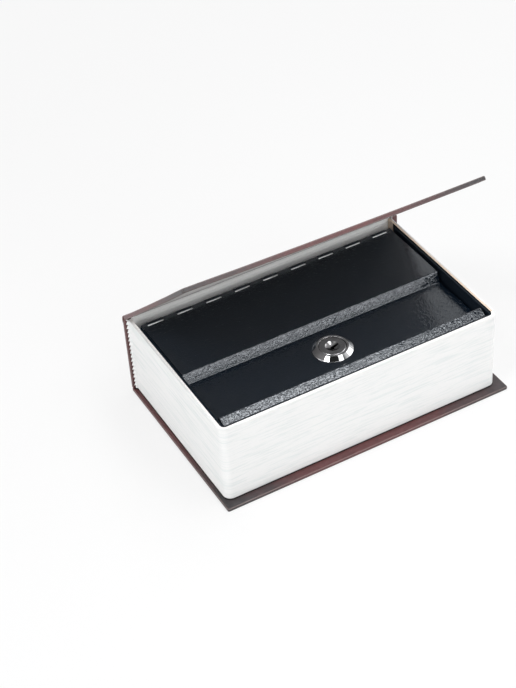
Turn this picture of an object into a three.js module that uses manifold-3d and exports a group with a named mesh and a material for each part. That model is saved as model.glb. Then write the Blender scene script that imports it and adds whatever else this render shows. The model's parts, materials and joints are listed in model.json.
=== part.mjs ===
import * as THREE from 'three';
import { mergeVertices } from 'three/addons/utils/BufferGeometryUtils.js';
import Module from 'manifold-3d';

const wasm = await Module();
wasm.setup();

// A hollow book lies on its back cover, with a small steel cash box glued inside it.
// +X runs along the book, +Y towards the spine and +Z up. Lengths are millimetres.
// The origin is the middle of the back cover's underside.

// Covers and spine, in grey board with a paper wrap
const coverLength = 180;
const coverDepth = 116;
const boardThick = 1.55;
const wrapThick = 0.3;
const backTurnIn = 15;
const frontTurnIn = 3;
const spineTurnIn = 10;
const spineDrop = 0.1;

// Page block, in card with an embossed paper skin
const pageHeight = 50.85;
const pageBoardThick = 1.2;
const pagePaperThick = 0.8;
const pageCornerRadius = 4.5;
const overhangFront = 5.2;
const overhangLeft = 2.3;
const overhangRight = 4.8;

// Front cover, held open
const coverRestAngle = THREE.MathUtils.degToRad(40.6);
const closedGap = 0.3;
const creaseRiseA = 0.4;
const creaseInsetA = 0.1;
const creaseInsetB = 1.65;
const creaseGap = 0.35;
const jointClothThick = 0.4;

// Steel box
const sheetThick = 1;
const boxCornerRadius = 2;
const boxGapFront = 0.3;
const boxGapBack = 8.95;
const boxGapLeft = 0.5;
const boxGapRight = 0.4;
const boxRimDrop = 0.35;
const tapeThick = 0.8;
const tapeWidth = 22;
const tapeEndInset = 13.2;
const tapeEdgeInset = 12.55;

// Lid of the steel box
const lidThick = 1;
const plateauDrop = 2;
const valleyDrop = 5.6;
const lipDrop = 0.2;
const lidSideGap = 1.2;
const lidFrontGap = 1.5;
const stepFromFront = 47.8;
const stepRun = 2.6;
const stepTopRadius = 2.6;
const stepFootRadius = 1.6;
const lipWidth = 8;
const lipSlopeRun = 1.8;
const lipRadius = 1.5;
const lipNoseRadius = 1.9;
const flangeDepth = 7.8;
const restTabLength = 8;
const restTabReach = 3;
const restGap = 0.3;
const restTabBehindStep = 21.1;
const restTabAheadOfLock = 18;

// Piano hinge
const pinRadius = 0.9;
const pinGap = 0.3;
const bodyKnuckleRadius = 2;
const lidKnuckleRadius = 1.75;
const knuckleCount = 9;
const knuckleLength = 9.6;
const hingeEndInset = 5.72;
const knuckleEndGap = 0.35;
const leafThick = 0.8;
const leafDepth = 12;
const hingeSetBack = 2.3;
const hingeSink = 1.9;
const lidBackOverhang = 0.7;

// Cam lock
const lockFromFront = 27.8;
const bezelFlange = 2.2;
const bezelFlat = 1.1;
const bezelEdge = 0.5;
const bezelHeight = 2.4;
const barrelWall = 2.7;
const barrelDepth = 16;
const plugRadius = 6.3;
const plugHeadStep = 1.2;
const plugHeadSeat = 1;
const plugSink = 0.1;
const turnGap = 0.3;
const nutBand = 2.7;
const nutSides = 6;
const nutThick = 4;
const washerBand = 2.7;
const washerThick = 0.8;
const keyDishRadius = 3.75;
const keyDishDepth = 1.3;
const keySlotLength = 6.4;
const keySlotWidth = 1.5;
const keySlotJog = 0.9;
const waferCount = 5;
const waferPitch = 2.2;
const waferThick = 0.8;
const waferWidth = 5;
const waferInset = 1.1;
const waferGap = 0.3;
const waferFirstDepth = 3;
const tangSide = 7;
const tangShort = 0.2;
const camThick = 2;
const camWidth = 11;
const camTipGap = 2.3;
const camGap = 0.5;
const screwRadius = 2;
const screwLength = 4;
const screwHeadRadius = 4.6;
const screwHeadThick = 2.2;
const screwSlotWidth = 1;
const screwSlotDepth = 1;
const strikeLength = 26;
const strikeReach = 5.2;
const strikeHeight = 10;
const strikeThick = 1.2;

// Round shapes and cuts
const roundSteps = 48;
const smallRoundSteps = 24;
const bendSteps = 6;
const cutOverrun = 2;

const materials = {
  board: { color: 0xb9a486, roughness: 0.9, metalness: 0 },
  wrap: { color: 0x3d2a29, roughness: 0.55, metalness: 0 },
  lining: { color: 0xdcdcda, roughness: 0.85, metalness: 0 },
  pages: { color: 0xecebe8, roughness: 0.85, metalness: 0 },
  tape: { color: 0x8c8c88, roughness: 0.9, metalness: 0 },
  paintedSteel: { color: 0x202327, roughness: 0.42, metalness: 0.1 },
  wire: { color: 0x9a9a98, roughness: 0.35, metalness: 1 },
  chrome: { color: 0xc8c8ca, roughness: 0.12, metalness: 1 },
  zinc: { color: 0xa9a79f, roughness: 0.35, metalness: 1 },
  brass: { color: 0xb08d4a, roughness: 0.35, metalness: 1 },
};

// Heights and faces worked out from the driving dimensions
const coverThick = wrapThick + boardThick + wrapThick;
const halfLength = coverLength / 2;
const halfDepth = coverDepth / 2;
const rimZ = coverThick + pageHeight;
const pageWallThick = pagePaperThick + pageBoardThick;
const pageLeft = -halfLength + overhangLeft;
const pageRight = halfLength - overhangRight;
const pageFront = -halfDepth + overhangFront;
const spineBoardBack = halfDepth - wrapThick;
const spineBoardFront = spineBoardBack - boardThick;
const spineTurnInFront = spineBoardFront - wrapThick;
const spineLiningFront = spineTurnInFront - wrapThick;
const spineTop = rimZ - spineDrop;

const boxLeft = pageLeft + pageWallThick + boxGapLeft;
const boxRight = pageRight - pageWallThick - boxGapRight;
const boxFront = pageFront + pageWallThick + boxGapFront;
const boxBack = spineLiningFront - boxGapBack;
const boxBottom = coverThick + tapeThick;
const boxRim = rimZ - boxRimDrop;
const boxMiddle = (boxLeft + boxRight) / 2;

const plateauTop = rimZ - plateauDrop;
const valleyTop = plateauTop - valleyDrop;
const lipTop = rimZ - lipDrop;
const lidLeft = boxLeft + sheetThick + lidSideGap;
const lidRight = boxRight - sheetThick - lidSideGap;
const lidFront = boxFront + sheetThick + lidFrontGap;
const hingeY = boxBack + hingeSetBack;
const hingeZ = plateauTop - hingeSink;
const lidBack = hingeY + lidBackOverhang;
const pinBoreRadius = pinRadius + pinGap;

const lockY = lidFront + lockFromFront;
const plugHeadRadius = plugRadius + plugHeadStep;
const barrelRadius = plugRadius + turnGap + barrelWall;
const bezelRadius = barrelRadius + bezelFlange;
const bezelTopRadius = plugHeadRadius + turnGap + bezelFlat;
const plugTop = valleyTop + bezelHeight - plugSink;
const plugHeadBottom = valleyTop - plugHeadSeat + turnGap;
const barrelBottom = valleyTop - barrelDepth;
const plugBottom = barrelBottom - turnGap;
const camTop = plugBottom;
const camBottom = camTop - camThick;
const camReach = lockY - boxFront - sheetThick - camTipGap;
const tangBottom = camBottom + tangShort;
const screwHeadTop = camBottom;
const screwTop = screwHeadTop + screwLength;

// Point lists and outlines
const point = (a, b) => new THREE.Vector2(a, b);

function arc(centre, radius, from, to, steps) {
  const points = [];
  for (let i = 0; i <= steps; i += 1) {
    const angle = from + ((to - from) * i) / steps;
    points.push(point(centre.x + radius * Math.cos(angle), centre.y + radius * Math.sin(angle)));
  }
  return points;
}

function outline(points) {
  const kept = points.filter((p, i) => i === 0 || !p.equals(points[i - 1]));
  return new THREE.Shape(kept);
}

function circle(centre, radius, steps) {
  return outline(arc(centre, radius, 0, Math.PI * 2, steps).slice(0, steps));
}

function ring(centre, outer, inner, steps) {
  const shape = circle(centre, outer, steps);
  shape.holes.push(circle(centre, inner, steps));
  return shape;
}

// A folded sheet's section: straight runs along a middle line, with a bend at each inner corner
function foldedSheet(corners, thick) {
  const upper = [];
  const lower = [];
  const add = (p, direction) => {
    const normal = point(-direction.y, direction.x).multiplyScalar(thick / 2);
    upper.push(p.clone().add(normal));
    lower.push(p.clone().sub(normal));
  };
  const last = corners.length - 1;
  const directions = corners.slice(0, last).map((c, i) => corners[i + 1].at.clone().sub(c.at).normalize());
  add(corners[0].at, directions[0]);
  for (let i = 1; i < last; i += 1) {
    const before = directions[i - 1];
    const after = directions[i];
    const turn = Math.atan2(before.cross(after), before.dot(after));
    const side = Math.sign(turn);
    const tangent = corners[i].radius * Math.tan(Math.abs(turn) / 2);
    const start = corners[i].at.clone().addScaledVector(before, -tangent);
    const toCentre = point(-before.y, before.x).multiplyScalar(side * corners[i].radius);
    const centre = start.clone().add(toCentre);
    for (let k = 0; k <= bendSteps; k += 1) {
      const angle = (turn * k) / bendSteps;
      const arm = toCentre.clone().negate().rotateAround(point(0, 0), angle);
      add(centre.clone().add(arm), before.clone().rotateAround(point(0, 0), angle));
    }
  }
  add(corners[last].at, directions[last - 1]);
  return outline([...upper, ...lower.reverse()]);
}

// Solids: blocks, and outlines pushed along Z or along X
function block(low, high) {
  const size = high.map((value, i) => value - low[i]);
  const geometry = new THREE.BoxGeometry(...size);
  return geometry.translate(...low.map((value, i) => value + size[i] / 2));
}

function alongZ(shape, low, high) {
  const geometry = new THREE.ExtrudeGeometry(shape, { depth: high - low, bevelEnabled: false });
  return geometry.translate(0, 0, low);
}

function alongX(shape, low, high) {
  const turned = new THREE.Matrix4().set(0, 0, 1, 0, 1, 0, 0, 0, 0, 1, 0, 0, 0, 0, 0, 1);
  return alongZ(shape, low, high).applyMatrix4(turned);
}

function lathe(profile, x, y) {
  const geometry = new THREE.LatheGeometry([...profile, profile[0]], roundSteps);
  return geometry.rotateX(Math.PI / 2).translate(x, y, 0);
}

function solid(geometry) {
  const bare = geometry.clone();
  bare.deleteAttribute('normal');
  bare.deleteAttribute('uv');
  const merged = mergeVertices(bare);
  const vertProperties = Float32Array.from(merged.attributes.position.array);
  const triVerts = Uint32Array.from(merged.index.array);
  return new wasm.Manifold(new wasm.Mesh({ numProp: 3, vertProperties, triVerts }));
}

function carve(added, removed = []) {
  let result = solid(added[0]);
  for (const extra of added.slice(1)) {
    result = result.add(solid(extra));
  }
  for (const tool of removed) {
    result = result.subtract(solid(tool));
  }
  const mesh = result.getMesh();
  const geometry = new THREE.BufferGeometry();
  geometry.setAttribute('position', new THREE.BufferAttribute(mesh.vertProperties, 3));
  geometry.setIndex(new THREE.BufferAttribute(mesh.triVerts, 1));
  geometry.computeVertexNormals();
  return geometry;
}

const safe = new THREE.Group();

function piece(name, geometry, finish, parent = safe) {
  const mesh = new THREE.Mesh(geometry, new THREE.MeshStandardMaterial(materials[finish]));
  mesh.name = name;
  parent.add(mesh);
}

// A cover: a board, the paper wrapped round its edges and the lining inside the turn-in.
// The wrapped face is at low Z, and the lining at high Z.
function coverParts(low, high, turnIn) {
  const boardLow = low.map((value) => value + wrapThick);
  const boardHigh = high.map((value) => value - wrapThick);
  const windowLow = [low[0] + turnIn, low[1] + turnIn, boardHigh[2]];
  const windowHigh = [high[0] - turnIn, high[1] - turnIn, high[2]];
  const cutLow = [windowLow[0], windowLow[1], (low[2] + high[2]) / 2];
  const cutHigh = [windowHigh[0], windowHigh[1], high[2] + cutOverrun];
  return {
    board: block(boardLow, boardHigh),
    wrap: carve([block(low, high)], [block(boardLow, boardHigh), block(cutLow, cutHigh)]),
    lining: block(windowLow, windowHigh),
  };
}

// Back cover, under everything else
function addBackCover() {
  const parts = coverParts([-halfLength, -halfDepth, 0], [halfLength, halfDepth, coverThick], backTurnIn);
  piece('back_board', parts.board, 'board');
  piece('back_cover_wrap', parts.wrap, 'wrap');
  piece('base_lining', parts.lining, 'lining');
}

// Spine, standing on the back cover's rear edge
function addSpine() {
  const boardEnd = halfLength - wrapThick;
  const innerEnd = halfLength - spineTurnIn;
  const boardLow = [-boardEnd, spineBoardFront, coverThick];
  piece('spine_board', block(boardLow, [boardEnd, spineBoardBack, spineTop]), 'board');
  const half = [
    point(boardEnd, spineBoardBack),
    point(boardEnd, spineBoardFront),
    point(innerEnd, spineBoardFront),
    point(innerEnd, spineTurnInFront),
    point(halfLength, spineTurnInFront),
    point(halfLength, halfDepth),
  ];
  const mirrored = half.map((p) => point(-p.x, p.y)).reverse();
  piece('spine_wrap', alongZ(outline([...half, ...mirrored]), coverThick, spineTop), 'wrap');
  const lining = [
    point(pageLeft, spineLiningFront),
    point(pageRight, spineLiningFront),
    point(pageRight, spineTurnInFront),
    point(innerEnd, spineTurnInFront),
    point(innerEnd, spineBoardFront),
    point(-innerEnd, spineBoardFront),
    point(-innerEnd, spineTurnInFront),
    point(pageLeft, spineTurnInFront),
  ];
  piece('spine_lining', alongZ(outline(lining), coverThick, spineTop), 'lining');
}

// A strip that follows the page block's front and its two round corners, between two insets
function pageStrip(outerInset, innerInset, armEnd) {
  const radius = pageCornerRadius;
  const left = point(pageLeft + radius, pageFront + radius);
  const right = point(pageRight - radius, pageFront + radius);
  const outer = [
    point(pageLeft + outerInset, armEnd),
    ...arc(left, radius - outerInset, Math.PI, Math.PI * 1.5, bendSteps),
    ...arc(right, radius - outerInset, Math.PI * 1.5, Math.PI * 2, bendSteps),
    point(pageRight - outerInset, armEnd),
  ];
  const inner = [
    point(pageLeft + innerInset, armEnd),
    ...arc(left, radius - innerInset, Math.PI, Math.PI * 1.5, bendSteps),
    ...arc(right, radius - innerInset, Math.PI * 1.5, Math.PI * 2, bendSteps),
    point(pageRight - innerInset, armEnd),
  ];
  return outline([...outer, ...inner.reverse()]);
}

// Page block: three card walls and one paper skin round them
function addPageBlock() {
  const cornerEnd = pageFront + pageCornerRadius;
  const cardFaces = [
    ['page_board_left', pageLeft + pagePaperThick],
    ['page_board_right', pageRight - pageWallThick],
  ];
  const frontCard = pageStrip(pagePaperThick, pageWallThick, cornerEnd);
  piece('page_board_front', alongZ(frontCard, coverThick, rimZ), 'board');
  for (const [name, x] of cardFaces) {
    piece(name, block([x, cornerEnd, coverThick], [x + pageBoardThick, spineLiningFront, rimZ]), 'board');
  }
  piece('page_paper', alongZ(pageStrip(0, pagePaperThick, spineLiningFront), coverThick, rimZ), 'pages');
}

function roundedRectangle(low, high, radius) {
  const quarter = Math.PI / 2;
  return outline([
    ...arc(point(high[0] - radius, high[1] - radius), radius, 0, quarter, bendSteps),
    ...arc(point(low[0] + radius, high[1] - radius), radius, quarter, quarter * 2, bendSteps),
    ...arc(point(low[0] + radius, low[1] + radius), radius, quarter * 2, quarter * 3, bendSteps),
    ...arc(point(high[0] - radius, low[1] + radius), radius, quarter * 3, quarter * 4, bendSteps),
  ]);
}

// Open steel box, with a low back wall for the hinge and four tabs that carry the closed lid
function addBoxBody() {
  const inner = [boxLeft + sheetThick, boxFront + sheetThick, boxRight - sheetThick, boxBack - sheetThick];
  const outside = roundedRectangle([boxLeft, boxFront], [boxRight, boxBack], boxCornerRadius);
  const innerRadius = boxCornerRadius - sheetThick;
  const inside = roundedRectangle([inner[0], inner[1]], [inner[2], inner[3]], innerRadius);
  const backWallTop = plateauTop - lidThick - restGap;
  const cutTop = boxRim + cutOverrun;
  const backCutLow = [inner[0], inner[3] - boxCornerRadius, backWallTop];
  const added = [alongZ(outside, boxBottom, boxRim)];
  const removed = [
    alongZ(inside, boxBottom + sheetThick, cutTop),
    block(backCutLow, [inner[2], boxBack + cutOverrun, cutTop]),
  ];
  const walls = carve(added, removed);
  const tabs = [
    [lidFront + stepFromFront + restTabBehindStep, plateauTop - lidThick - restGap],
    [lockY - restTabAheadOfLock, valleyTop - lidThick - restGap],
  ];
  const parts = [walls];
  for (const [y, top] of tabs) {
    const half = restTabLength / 2;
    const low = top - sheetThick;
    parts.push(block([boxLeft + sheetThick / 2, y - half, low], [inner[0] + restTabReach, y + half, top]));
    parts.push(block([inner[2] - restTabReach, y - half, low], [boxRight - sheetThick / 2, y + half, top]));
  }
  piece('box_body', carve(parts), 'paintedSteel');
}

function addMountingTape() {
  const rows = [
    ['mounting_tape_front', boxFront + tapeEdgeInset],
    ['mounting_tape_back', boxBack - tapeEdgeInset - tapeWidth],
  ];
  for (const [name, front] of rows) {
    const low = [boxLeft + tapeEndInset, front, coverThick];
    const high = [boxRight - tapeEndInset, front + tapeWidth, boxBottom];
    piece(name, block(low, high), 'tape');
  }
}

// Piano hinge: the box's leaf and its knuckles, spot welded outside the back wall, and the wire pin
const hingeHalf = (boxRight - boxLeft) / 2 - hingeEndInset;
const knucklePitch = (hingeHalf * 2 - knuckleLength) / (knuckleCount - 1);
const knuckleCentres = [];
for (let i = 0; i < knuckleCount; i += 1) {
  knuckleCentres.push(boxMiddle + (i - (knuckleCount - 1) / 2) * knucklePitch);
}
const hingeCentre = point(hingeY, hingeZ);

function addHinge() {
  const leafLow = plateauTop - leafDepth;
  const leafTop = hingeZ - bodyKnuckleRadius - knuckleEndGap;
  const start = boxMiddle - hingeHalf;
  const end = boxMiddle + hingeHalf;
  const parts = [block([start, boxBack, leafLow], [end, boxBack + leafThick, leafTop])];
  for (const x of knuckleCentres) {
    const from = x - knuckleLength / 2;
    const to = x + knuckleLength / 2;
    parts.push(block([from, boxBack, leafLow], [to, boxBack + leafThick, hingeZ]));
    parts.push(alongX(ring(hingeCentre, bodyKnuckleRadius, pinBoreRadius, smallRoundSteps), from, to));
  }
  piece('hinge_leaf', carve(parts), 'paintedSteel');
  piece('hinge_pin', alongX(circle(hingeCentre, pinRadius, smallRoundSteps), start, end), 'wire');
}

// Pressed lid: a plateau over the back half, a step down to the lock, and a raised lip at the front
function addLid() {
  const half = lidThick / 2;
  const stepTop = lidFront + stepFromFront;
  const lipBack = lidFront + lipWidth;
  const corners = [
    { at: point(lidBack, plateauTop - half) },
    { at: point(stepTop, plateauTop - half), radius: stepTopRadius },
    { at: point(stepTop - stepRun, valleyTop - half), radius: stepFootRadius },
    { at: point(lipBack, valleyTop - half), radius: lipRadius },
    { at: point(lipBack - lipSlopeRun, lipTop - half), radius: lipRadius },
    { at: point(lidFront + half, lipTop - half), radius: lipNoseRadius },
    { at: point(lidFront + half, lipTop - flangeDepth) },
  ];
  const lidParts = [alongX(foldedSheet(corners, lidThick), lidLeft, lidRight)];
  const lockHole = circle(point(boxMiddle, lockY), barrelRadius + turnGap, roundSteps);
  const cuts = [alongZ(lockHole, barrelBottom, plugTop)];
  const notchFront = hingeY - bodyKnuckleRadius - knuckleEndGap;
  const notchBottom = hingeZ - bodyKnuckleRadius;
  const notchBack = lidBack + cutOverrun;
  knuckleCentres.forEach((x, i) => {
    const reach = knuckleLength / 2 + knuckleEndGap;
    cuts.push(block([x - reach, notchFront, notchBottom], [x + reach, notchBack, lipTop]));
    if (i > 0) {
      const from = knuckleCentres[i - 1] + reach;
      const to = x - reach;
      lidParts.push(alongX(circle(hingeCentre, lidKnuckleRadius, smallRoundSteps), from, to));
    }
  });
  const pinBore = circle(hingeCentre, pinBoreRadius, smallRoundSteps);
  cuts.push(alongX(pinBore, lidLeft - cutOverrun, lidRight + cutOverrun));
  piece('box_lid', carve(lidParts, cuts), 'paintedSteel');
}

// Cam lock: the fixed housing with its washer and nut
function addLockHousing() {
  const seat = valleyTop - plugHeadSeat;
  const housing = [
    point(plugRadius + turnGap, barrelBottom),
    point(barrelRadius, barrelBottom),
    point(barrelRadius, valleyTop),
    point(bezelRadius, valleyTop),
    point(bezelRadius, valleyTop + bezelEdge),
    point(bezelTopRadius, valleyTop + bezelHeight),
    point(plugHeadRadius + turnGap, valleyTop + bezelHeight),
    point(plugHeadRadius + turnGap, seat),
    point(plugRadius + turnGap, seat),
  ];
  piece('lock_housing', lathe(housing, boxMiddle, lockY), 'chrome');
  const lockCentre = point(boxMiddle, lockY);
  const washerTop = valleyTop - lidThick;
  const nutTop = washerTop - washerThick;
  const bore = barrelRadius + turnGap;
  const washer = ring(lockCentre, barrelRadius + washerBand, bore, roundSteps);
  piece('lock_washer', alongZ(washer, nutTop, washerTop), 'zinc');
  const nutRadius = (barrelRadius + nutBand) / Math.cos(Math.PI / nutSides);
  const nut = circle(lockCentre, nutRadius, nutSides);
  nut.holes.push(circle(lockCentre, bore, roundSteps));
  piece('lock_nut', alongZ(nut, nutTop - nutThick, nutTop), 'zinc');
}

// Turning plug: a flat head with a dished keyhole, five wafers in their slots and a square tang
function addLockPlug() {
  const profile = [
    point(0, plugBottom),
    point(plugRadius, plugBottom),
    point(plugRadius, plugHeadBottom),
    point(plugHeadRadius, plugHeadBottom),
    point(plugHeadRadius, plugTop),
    point(keyDishRadius, plugTop),
    point(0, plugTop - keyDishDepth),
  ];
  const slotHalf = keySlotLength / 2;
  const jog = keySlotJog / 2;
  const half = keySlotWidth / 2;
  const keyway = [
    point(-slotHalf, -half - jog),
    point(half, -half - jog),
    point(half, -half + jog),
    point(slotHalf, -half + jog),
    point(slotHalf, half + jog),
    point(-half, half + jog),
    point(-half, half - jog),
    point(-slotHalf, half - jog),
  ];
  const lastWaferBottom = plugHeadBottom - waferFirstDepth - (waferCount - 1) * waferPitch;
  const keywayCut = alongZ(outline(keyway), lastWaferBottom - waferGap, plugTop + cutOverrun);
  const tang = block(
    [boxMiddle - tangSide / 2, lockY - tangSide / 2, tangBottom],
    [boxMiddle + tangSide / 2, lockY + tangSide / 2, plugBottom + cutOverrun],
  );
  const screwCentre = point(boxMiddle, lockY);
  const threadHole = circle(screwCentre, screwRadius + turnGap, smallRoundSteps);
  const cuts = [
    keywayCut.translate(boxMiddle, lockY, 0),
    alongZ(threadHole, tangBottom - cutOverrun, screwTop + turnGap),
  ];
  const slotReach = plugRadius + cutOverrun;
  const slotSide = waferWidth / 2 + waferGap;
  const waferBottoms = [];
  for (let i = 0; i < waferCount; i += 1) {
    const bottom = plugHeadBottom - waferFirstDepth - i * waferPitch;
    waferBottoms.push(bottom);
    cuts.push(block(
      [boxMiddle - slotReach, lockY - slotSide, bottom - waferGap],
      [boxMiddle + slotReach, lockY + slotSide, bottom + waferThick + waferGap],
    ));
  }
  piece('lock_plug', carve([lathe(profile, boxMiddle, lockY), tang], cuts), 'chrome');

  const windowHalf = keySlotLength / 2 + waferGap;
  const windowSide = half + jog + waferGap;
  const waferReach = plugRadius - waferInset;
  const wafer = roundedRectangle(
    [boxMiddle - waferReach, lockY - waferWidth / 2],
    [boxMiddle + waferReach, lockY + waferWidth / 2],
    waferGap,
  );
  wafer.holes.push(roundedRectangle(
    [boxMiddle - windowHalf, lockY - windowSide],
    [boxMiddle + windowHalf, lockY + windowSide],
    waferGap,
  ));
  waferBottoms.forEach((bottom, i) => {
    piece(`lock_wafer_${i + 1}`, alongZ(wafer, bottom, bottom + waferThick), 'brass');
  });
}

// Cam on the plug's tang, parallel to the front wall while the lock is open, with its screw
function addCam() {
  const camHalf = camWidth / 2;
  const camCentre = point(boxMiddle, lockY);
  const tip = camReach - camHalf;
  const camOutline = outline([
    ...arc(camCentre, camHalf, Math.PI / 2, Math.PI * 1.5, smallRoundSteps),
    ...arc(point(boxMiddle + tip, lockY), camHalf, -Math.PI / 2, Math.PI / 2, smallRoundSteps),
  ]);
  const holeHalf = tangSide / 2 + turnGap;
  camOutline.holes.push(outline([
    point(boxMiddle - holeHalf, lockY - holeHalf),
    point(boxMiddle - holeHalf, lockY + holeHalf),
    point(boxMiddle + holeHalf, lockY + holeHalf),
    point(boxMiddle + holeHalf, lockY - holeHalf),
  ]));
  piece('lock_cam', alongZ(camOutline, camBottom, camTop), 'zinc');

  const headBottom = screwHeadTop - screwHeadThick;
  const slotHalf = screwSlotWidth / 2;
  const screwParts = [
    alongZ(circle(camCentre, screwRadius, smallRoundSteps), headBottom + screwSlotDepth, screwTop),
    alongZ(circle(camCentre, screwHeadRadius, smallRoundSteps), headBottom, screwHeadTop),
  ];
  const slotCut = block(
    [boxMiddle - screwHeadRadius - cutOverrun, lockY - slotHalf, headBottom - cutOverrun],
    [boxMiddle + screwHeadRadius + cutOverrun, lockY + slotHalf, headBottom + screwSlotDepth],
  );
  piece('cam_screw', carve(screwParts, [slotCut]), 'zinc');
}

// Strike: an angle welded inside the front wall, which the turned cam catches under
function addStrike() {
  const wall = boxFront + sheetThick;
  const bottom = camTop + camGap;
  const section = [
    point(wall, bottom),
    point(wall + strikeReach, bottom),
    point(wall + strikeReach, bottom + strikeThick),
    point(wall + strikeThick, bottom + strikeThick),
    point(wall + strikeThick, bottom + strikeHeight),
    point(wall, bottom + strikeHeight),
  ];
  const start = boxMiddle - strikeLength / 2;
  piece('strike_plate', alongX(outline(section), start, start + strikeLength), 'paintedSteel');
}

// Front cover on its two creases: A at the spine's top outer edge, B at the cover's rear edge
function addFrontCover() {
  const creaseA = point(halfDepth - creaseInsetA, spineTop + creaseRiseA);
  const creaseB = point(halfDepth - creaseInsetB, rimZ + closedGap + coverThick / 2);
  const direction = creaseB.clone().sub(creaseA).normalize();
  const normal = point(-direction.y, direction.x).multiplyScalar(jointClothThick / 2);
  const from = creaseA.clone().addScaledVector(direction, creaseGap);
  const to = creaseB.clone().addScaledVector(direction, -creaseGap);
  const cloth = outline([
    from.clone().add(normal),
    to.clone().add(normal),
    to.clone().sub(normal),
    from.clone().sub(normal),
  ]);
  const clothEnd = halfLength - wrapThick;
  piece('joint_cloth', alongX(cloth, -clothEnd, clothEnd), 'wrap');

  const foreEdge = creaseB.x + halfDepth;
  const half = coverThick / 2;
  const parts = coverParts([-halfLength, creaseGap, -half], [halfLength, foreEdge, half], frontTurnIn);
  const cover = new THREE.Group();
  cover.position.set(0, creaseB.x, creaseB.y);
  cover.rotation.x = Math.PI - coverRestAngle;
  piece('front_board', parts.board, 'board', cover);
  piece('front_cover_wrap', parts.wrap, 'wrap', cover);
  piece('front_pastedown', parts.lining, 'lining', cover);
  safe.add(cover);
}

addBackCover();
addSpine();
addPageBlock();
addMountingTape();
addBoxBody();
addHinge();
addLid();
addLockHousing();
addLockPlug();
addCam();
addStrike();
addFrontCover();

export default safe;
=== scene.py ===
import json
import math

import bpy
from mathutils import Matrix, Vector


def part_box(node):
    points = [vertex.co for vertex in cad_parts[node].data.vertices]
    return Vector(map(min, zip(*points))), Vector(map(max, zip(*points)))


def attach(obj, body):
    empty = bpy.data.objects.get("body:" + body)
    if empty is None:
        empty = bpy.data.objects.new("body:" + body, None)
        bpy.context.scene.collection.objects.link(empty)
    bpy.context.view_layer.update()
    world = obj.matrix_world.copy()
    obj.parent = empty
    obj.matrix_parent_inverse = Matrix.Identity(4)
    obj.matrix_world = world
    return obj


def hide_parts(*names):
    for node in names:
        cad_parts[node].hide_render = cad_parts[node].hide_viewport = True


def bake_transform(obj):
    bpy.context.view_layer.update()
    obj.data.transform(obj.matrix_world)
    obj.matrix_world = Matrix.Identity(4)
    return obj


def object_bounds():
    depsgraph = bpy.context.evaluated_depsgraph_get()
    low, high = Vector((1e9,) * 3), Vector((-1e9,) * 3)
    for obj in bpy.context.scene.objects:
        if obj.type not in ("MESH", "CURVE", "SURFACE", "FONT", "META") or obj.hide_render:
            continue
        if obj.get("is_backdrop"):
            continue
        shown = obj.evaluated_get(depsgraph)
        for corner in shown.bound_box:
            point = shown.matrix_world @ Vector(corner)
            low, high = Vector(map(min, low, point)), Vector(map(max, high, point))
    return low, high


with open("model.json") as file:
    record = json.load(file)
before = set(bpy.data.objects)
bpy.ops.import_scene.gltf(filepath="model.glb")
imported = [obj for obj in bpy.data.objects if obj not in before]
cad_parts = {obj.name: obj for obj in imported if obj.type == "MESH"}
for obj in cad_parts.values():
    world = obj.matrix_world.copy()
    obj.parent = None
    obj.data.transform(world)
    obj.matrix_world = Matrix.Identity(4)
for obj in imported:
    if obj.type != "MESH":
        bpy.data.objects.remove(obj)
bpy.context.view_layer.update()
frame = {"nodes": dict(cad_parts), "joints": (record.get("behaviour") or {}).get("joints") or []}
bpy.ops.object.select_all(action="DESELECT")


# Boards: stiff grey board inside the back cover, the spine and the front cover.
# All three are guillotined from one sheet, and their corners are nipped so that the paper turns neatly.
mm = 0.001
paper_thick = 0.3 * mm
cover_thick = 2.15 * mm
board_corner = 1.4 * mm
round_cuts = 5


def only(piece):
    """Leaves one piece chosen and active."""
    bpy.ops.object.select_all(action="DESELECT")
    piece.select_set(True)
    bpy.context.view_layer.objects.active = piece


def fix(piece):
    """Writes a piece's place, turn and size into its mesh."""
    only(piece)
    bpy.ops.object.transform_apply(location=True, rotation=True, scale=True)


def added(name):
    """Names and fixes the piece that was just added."""
    piece = bpy.context.active_object
    piece.name = name
    fix(piece)
    return piece


def settle(piece, turn_x, place):
    """Turns and moves a piece that was made flat, and fixes it."""
    piece.rotation_euler.x = turn_x
    piece.location = place
    fix(piece)


def block(name, low, high):
    """A box between two corners."""
    low, high = Vector(low), Vector(high)
    bpy.ops.mesh.primitive_cube_add(size=1, location=(low + high) / 2)
    bpy.context.active_object.scale = high - low
    return added(name)


def pick(piece, kind, test):
    """Opens a mesh for editing, and chooses the faces, edges or corners that pass a test."""
    only(piece)
    bpy.ops.object.mode_set(mode="EDIT")
    bpy.ops.mesh.select_mode(type=kind)
    bpy.ops.mesh.select_all(action="DESELECT")
    bpy.ops.object.mode_set(mode="OBJECT")
    mesh = piece.data
    if kind == "FACE":
        for face in mesh.polygons:
            face.select = bool(test(face.center, face.normal))
    elif kind == "EDGE":
        for edge in mesh.edges:
            a, b = (mesh.vertices[i].co for i in edge.vertices)
            edge.select = bool(test((a + b) / 2, (b - a).normalized()))
    else:
        for vertex in mesh.vertices:
            vertex.select = bool(test(vertex.co, vertex.normal))
    bpy.ops.object.mode_set(mode="EDIT")


def anywhere(middle, direction):
    return True


def upright(middle, direction):
    return abs(direction.z) > 0.99


def close_edit():
    bpy.ops.object.mode_set(mode="OBJECT")


def round_edges(piece, test, radius, cuts=round_cuts):
    """Rounds the edges that pass a test."""
    pick(piece, "EDGE", test)
    bpy.ops.mesh.bevel(offset=radius, segments=cuts, affect="EDGES")
    close_edit()


def coat(piece, finish):
    """Gives a piece one material."""
    piece.data.materials.clear()
    piece.data.materials.append(finish)


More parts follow.
